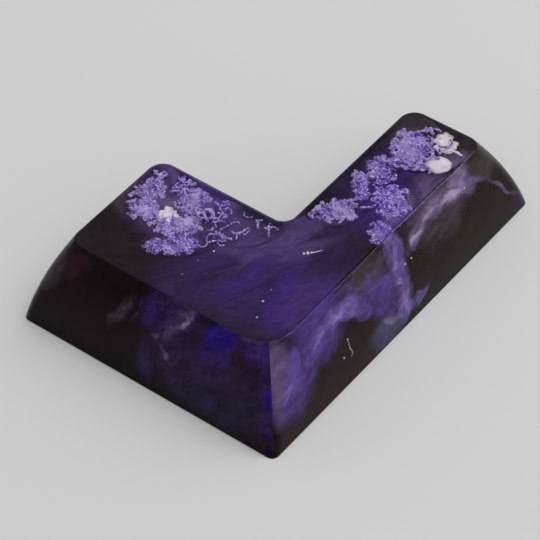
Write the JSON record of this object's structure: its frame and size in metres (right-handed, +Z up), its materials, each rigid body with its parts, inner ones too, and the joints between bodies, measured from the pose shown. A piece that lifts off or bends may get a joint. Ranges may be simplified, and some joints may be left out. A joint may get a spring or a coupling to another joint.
{
  "type": "artisan keycap",
  "caption": "L-shaped cast resin keycap with barrel-curved sides and a flat top over violet and white ink blooms, hollow below, with a cross socket post for a key switch stem.",
  "frame": {"origin": "on the rim plane, in the middle of the rim's box", "axes": "+Z up through the flat top, +Y away from the typist along the long arm, +X to the typist's right"},
  "size_m": [0.0268, 0.0372, 0.0081],
  "materials": {
    "smoky_resin": "polished clear resin, smoky brown-black with violet ink smoke",
    "violet_ink": "set violet ink, frothy and matt",
    "white_ink": "set white ink, smooth and matt"
  },
  "bodies": {
    "root": {"resin_cap": "smoky_resin", "violet_bloom_left": "violet_ink", "violet_bloom_left_back": "violet_ink", "violet_bloom_left_front": "violet_ink", "violet_bloom_left_middle": "violet_ink", "violet_bloom_row": "violet_ink", "violet_bloom_notch": "violet_ink", "violet_bloom_side": "violet_ink", "violet_bloom_middle": "violet_ink", "violet_bloom_edge_front": "violet_ink", "violet_bloom_edge": "violet_ink", "violet_bloom_back": "violet_ink", "white_bloom_left": "white_ink", "white_bloom_side": "white_ink", "white_bloom_back": "white_ink"}
  },
  "joints": []
}
